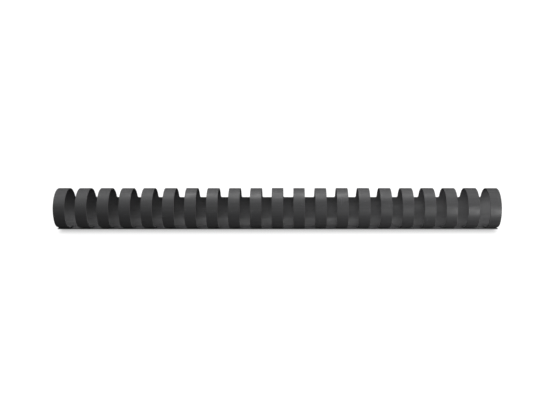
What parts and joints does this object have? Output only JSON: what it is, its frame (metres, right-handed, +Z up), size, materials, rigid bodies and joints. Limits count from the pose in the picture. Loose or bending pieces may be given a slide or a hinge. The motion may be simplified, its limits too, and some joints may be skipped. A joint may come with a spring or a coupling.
{
  "type": "binding comb",
  "caption": "Black plastic binding comb: a curved spine strip whose springy rings curl over from the rear edge and tuck their tips in behind the front lip.",
  "frame": {"origin": "middle of the comb's box at its lowest point: under the middle of the spine's length, on the surface the comb lies on", "axes": "+X along the spine, +Y towards the rear edge where the rings are rooted, -Y towards the front lip where their tips tuck in, +Z up"},
  "size_m": [0.2958, 0.0276, 0.0273],
  "materials": {
    "spine_pvc": "semi-gloss black extruded PVC sheet, fine lengthwise streaks",
    "ring_pvc": "semi-gloss black PVC, die-cut edges, faint handling scuffs"
  },
  "bodies": {
    "spine": {"spine": "spine_pvc"},
    "ring_01": {"ring_01": "ring_pvc"},
    "ring_02": {"ring_02": "ring_pvc"},
    "ring_03": {"ring_03": "ring_pvc"},
    "ring_04": {"ring_04": "ring_pvc"},
    "ring_05": {"ring_05": "ring_pvc"},
    "ring_06": {"ring_06": "ring_pvc"},
    "ring_07": {"ring_07": "ring_pvc"},
    "ring_08": {"ring_08": "ring_pvc"},
    "ring_09": {"ring_09": "ring_pvc"},
    "ring_10": {"ring_10": "ring_pvc"},
    "ring_11": {"ring_11": "ring_pvc"},
    "ring_12": {"ring_12": "ring_pvc"},
    "ring_13": {"ring_13": "ring_pvc"},
    "ring_14": {"ring_14": "ring_pvc"},
    "ring_15": {"ring_15": "ring_pvc"},
    "ring_16": {"ring_16": "ring_pvc"},
    "ring_17": {"ring_17": "ring_pvc"},
    "ring_18": {"ring_18": "ring_pvc"},
    "ring_19": {"ring_19": "ring_pvc"},
    "ring_20": {"ring_20": "ring_pvc"},
    "ring_21": {"ring_21": "ring_pvc"}
  },
  "joints": [
    {"name": "ring_01_flex", "type": "hinge", "parent": "spine", "child": "ring_01", "pos_m": [-0.14288, 0.0133, 0.01117], "axis": [-1, 0, 0], "range_deg": [0, 75], "stiffness_Nm_per_rad": 0.006, "springref_deg": -8.59},
    {"name": "ring_02_flex", "type": "hinge", "parent": "spine", "child": "ring_02", "pos_m": [-0.12859, 0.0133, 0.01117], "axis": [-1, 0, 0], "range_deg": [0, 75], "stiffness_Nm_per_rad": 0.006, "springref_deg": -8.59},
    {"name": "ring_03_flex", "type": "hinge", "parent": "spine", "child": "ring_03", "pos_m": [-0.1143, 0.0133, 0.01117], "axis": [-1, 0, 0], "range_deg": [0, 75], "stiffness_Nm_per_rad": 0.006, "springref_deg": -8.59},
    {"name": "ring_04_flex", "type": "hinge", "parent": "spine", "child": "ring_04", "pos_m": [-0.10001, 0.0133, 0.01117], "axis": [-1, 0, 0], "range_deg": [0, 75], "stiffness_Nm_per_rad": 0.006, "springref_deg": -8.59},
    {"name": "ring_05_flex", "type": "hinge", "parent": "spine", "child": "ring_05", "pos_m": [-0.08572, 0.0133, 0.01117], "axis": [-1, 0, 0], "range_deg": [0, 75], "stiffness_Nm_per_rad": 0.006, "springref_deg": -8.59},
    {"name": "ring_06_flex", "type": "hinge", "parent": "spine", "child": "ring_06", "pos_m": [-0.07144, 0.0133, 0.01117], "axis": [-1, 0, 0], "range_deg": [0, 75], "stiffness_Nm_per_rad": 0.006, "springref_deg": -8.59},
    {"name": "ring_07_flex", "type": "hinge", "parent": "spine", "child": "ring_07", "pos_m": [-0.05715, 0.0133, 0.01117], "axis": [-1, 0, 0], "range_deg": [0, 75], "stiffness_Nm_per_rad": 0.006, "springref_deg": -8.59},
    {"name": "ring_08_flex", "type": "hinge", "parent": "spine", "child": "ring_08", "pos_m": [-0.04286, 0.0133, 0.01117], "axis": [-1, 0, 0], "range_deg": [0, 75], "stiffness_Nm_per_rad": 0.006, "springref_deg": -8.59},
    {"name": "ring_09_flex", "type": "hinge", "parent": "spine", "child": "ring_09", "pos_m": [-0.02857, 0.0133, 0.01117], "axis": [-1, 0, 0], "range_deg": [0, 75], "stiffness_Nm_per_rad": 0.006, "springref_deg": -8.59},
    {"name": "ring_10_flex", "type": "hinge", "parent": "spine", "child": "ring_10", "pos_m": [-0.01429, 0.0133, 0.01117], "axis": [-1, 0, 0], "range_deg": [0, 75], "stiffness_Nm_per_rad": 0.006, "springref_deg": -8.59},
    {"name": "ring_11_flex", "type": "hinge", "parent": "spine", "child": "ring_11", "pos_m": [0, 0.0133, 0.01117], "axis": [-1, 0, 0], "range_deg": [0, 75], "stiffness_Nm_per_rad": 0.006, "springref_deg": -8.59},
    {"name": "ring_12_flex", "type": "hinge", "parent": "spine", "child": "ring_12", "pos_m": [0.01429, 0.0133, 0.01117], "axis": [-1, 0, 0], "range_deg": [0, 75], "stiffness_Nm_per_rad": 0.006, "springref_deg": -8.59},
    {"name": "ring_13_flex", "type": "hinge", "parent": "spine", "child": "ring_13", "pos_m": [0.02857, 0.0133, 0.01117], "axis": [-1, 0, 0], "range_deg": [0, 75], "stiffness_Nm_per_rad": 0.006, "springref_deg": -8.59},
    {"name": "ring_14_flex", "type": "hinge", "parent": "spine", "child": "ring_14", "pos_m": [0.04286, 0.0133, 0.01117], "axis": [-1, 0, 0], "range_deg": [0, 75], "stiffness_Nm_per_rad": 0.006, "springref_deg": -8.59},
    {"name": "ring_15_flex", "type": "hinge", "parent": "spine", "child": "ring_15", "pos_m": [0.05715, 0.0133, 0.01117], "axis": [-1, 0, 0], "range_deg": [0, 75], "stiffness_Nm_per_rad": 0.006, "springref_deg": -8.59},
    {"name": "ring_16_flex", "type": "hinge", "parent": "spine", "child": "ring_16", "pos_m": [0.07144, 0.0133, 0.01117], "axis": [-1, 0, 0], "range_deg": [0, 75], "stiffness_Nm_per_rad": 0.006, "springref_deg": -8.59},
    {"name": "ring_17_flex", "type": "hinge", "parent": "spine", "child": "ring_17", "pos_m": [0.08572, 0.0133, 0.01117], "axis": [-1, 0, 0], "range_deg": [0, 75], "stiffness_Nm_per_rad": 0.006, "springref_deg": -8.59},
    {"name": "ring_18_flex", "type": "hinge", "parent": "spine", "child": "ring_18", "pos_m": [0.10001, 0.0133, 0.01117], "axis": [-1, 0, 0], "range_deg": [0, 75], "stiffness_Nm_per_rad": 0.006, "springref_deg": -8.59},
    {"name": "ring_19_flex", "type": "hinge", "parent": "spine", "child": "ring_19", "pos_m": [0.1143, 0.0133, 0.01117], "axis": [-1, 0, 0], "range_deg": [0, 75], "stiffness_Nm_per_rad": 0.006, "springref_deg": -8.59},
    {"name": "ring_20_flex", "type": "hinge", "parent": "spine", "child": "ring_20", "pos_m": [0.12859, 0.0133, 0.01117], "axis": [-1, 0, 0], "range_deg": [0, 75], "stiffness_Nm_per_rad": 0.006, "springref_deg": -8.59},
    {"name": "ring_21_flex", "type": "hinge", "parent": "spine", "child": "ring_21", "pos_m": [0.14288, 0.0133, 0.01117], "axis": [-1, 0, 0], "range_deg": [0, 75], "stiffness_Nm_per_rad": 0.006, "springref_deg": -8.59}
  ]
}
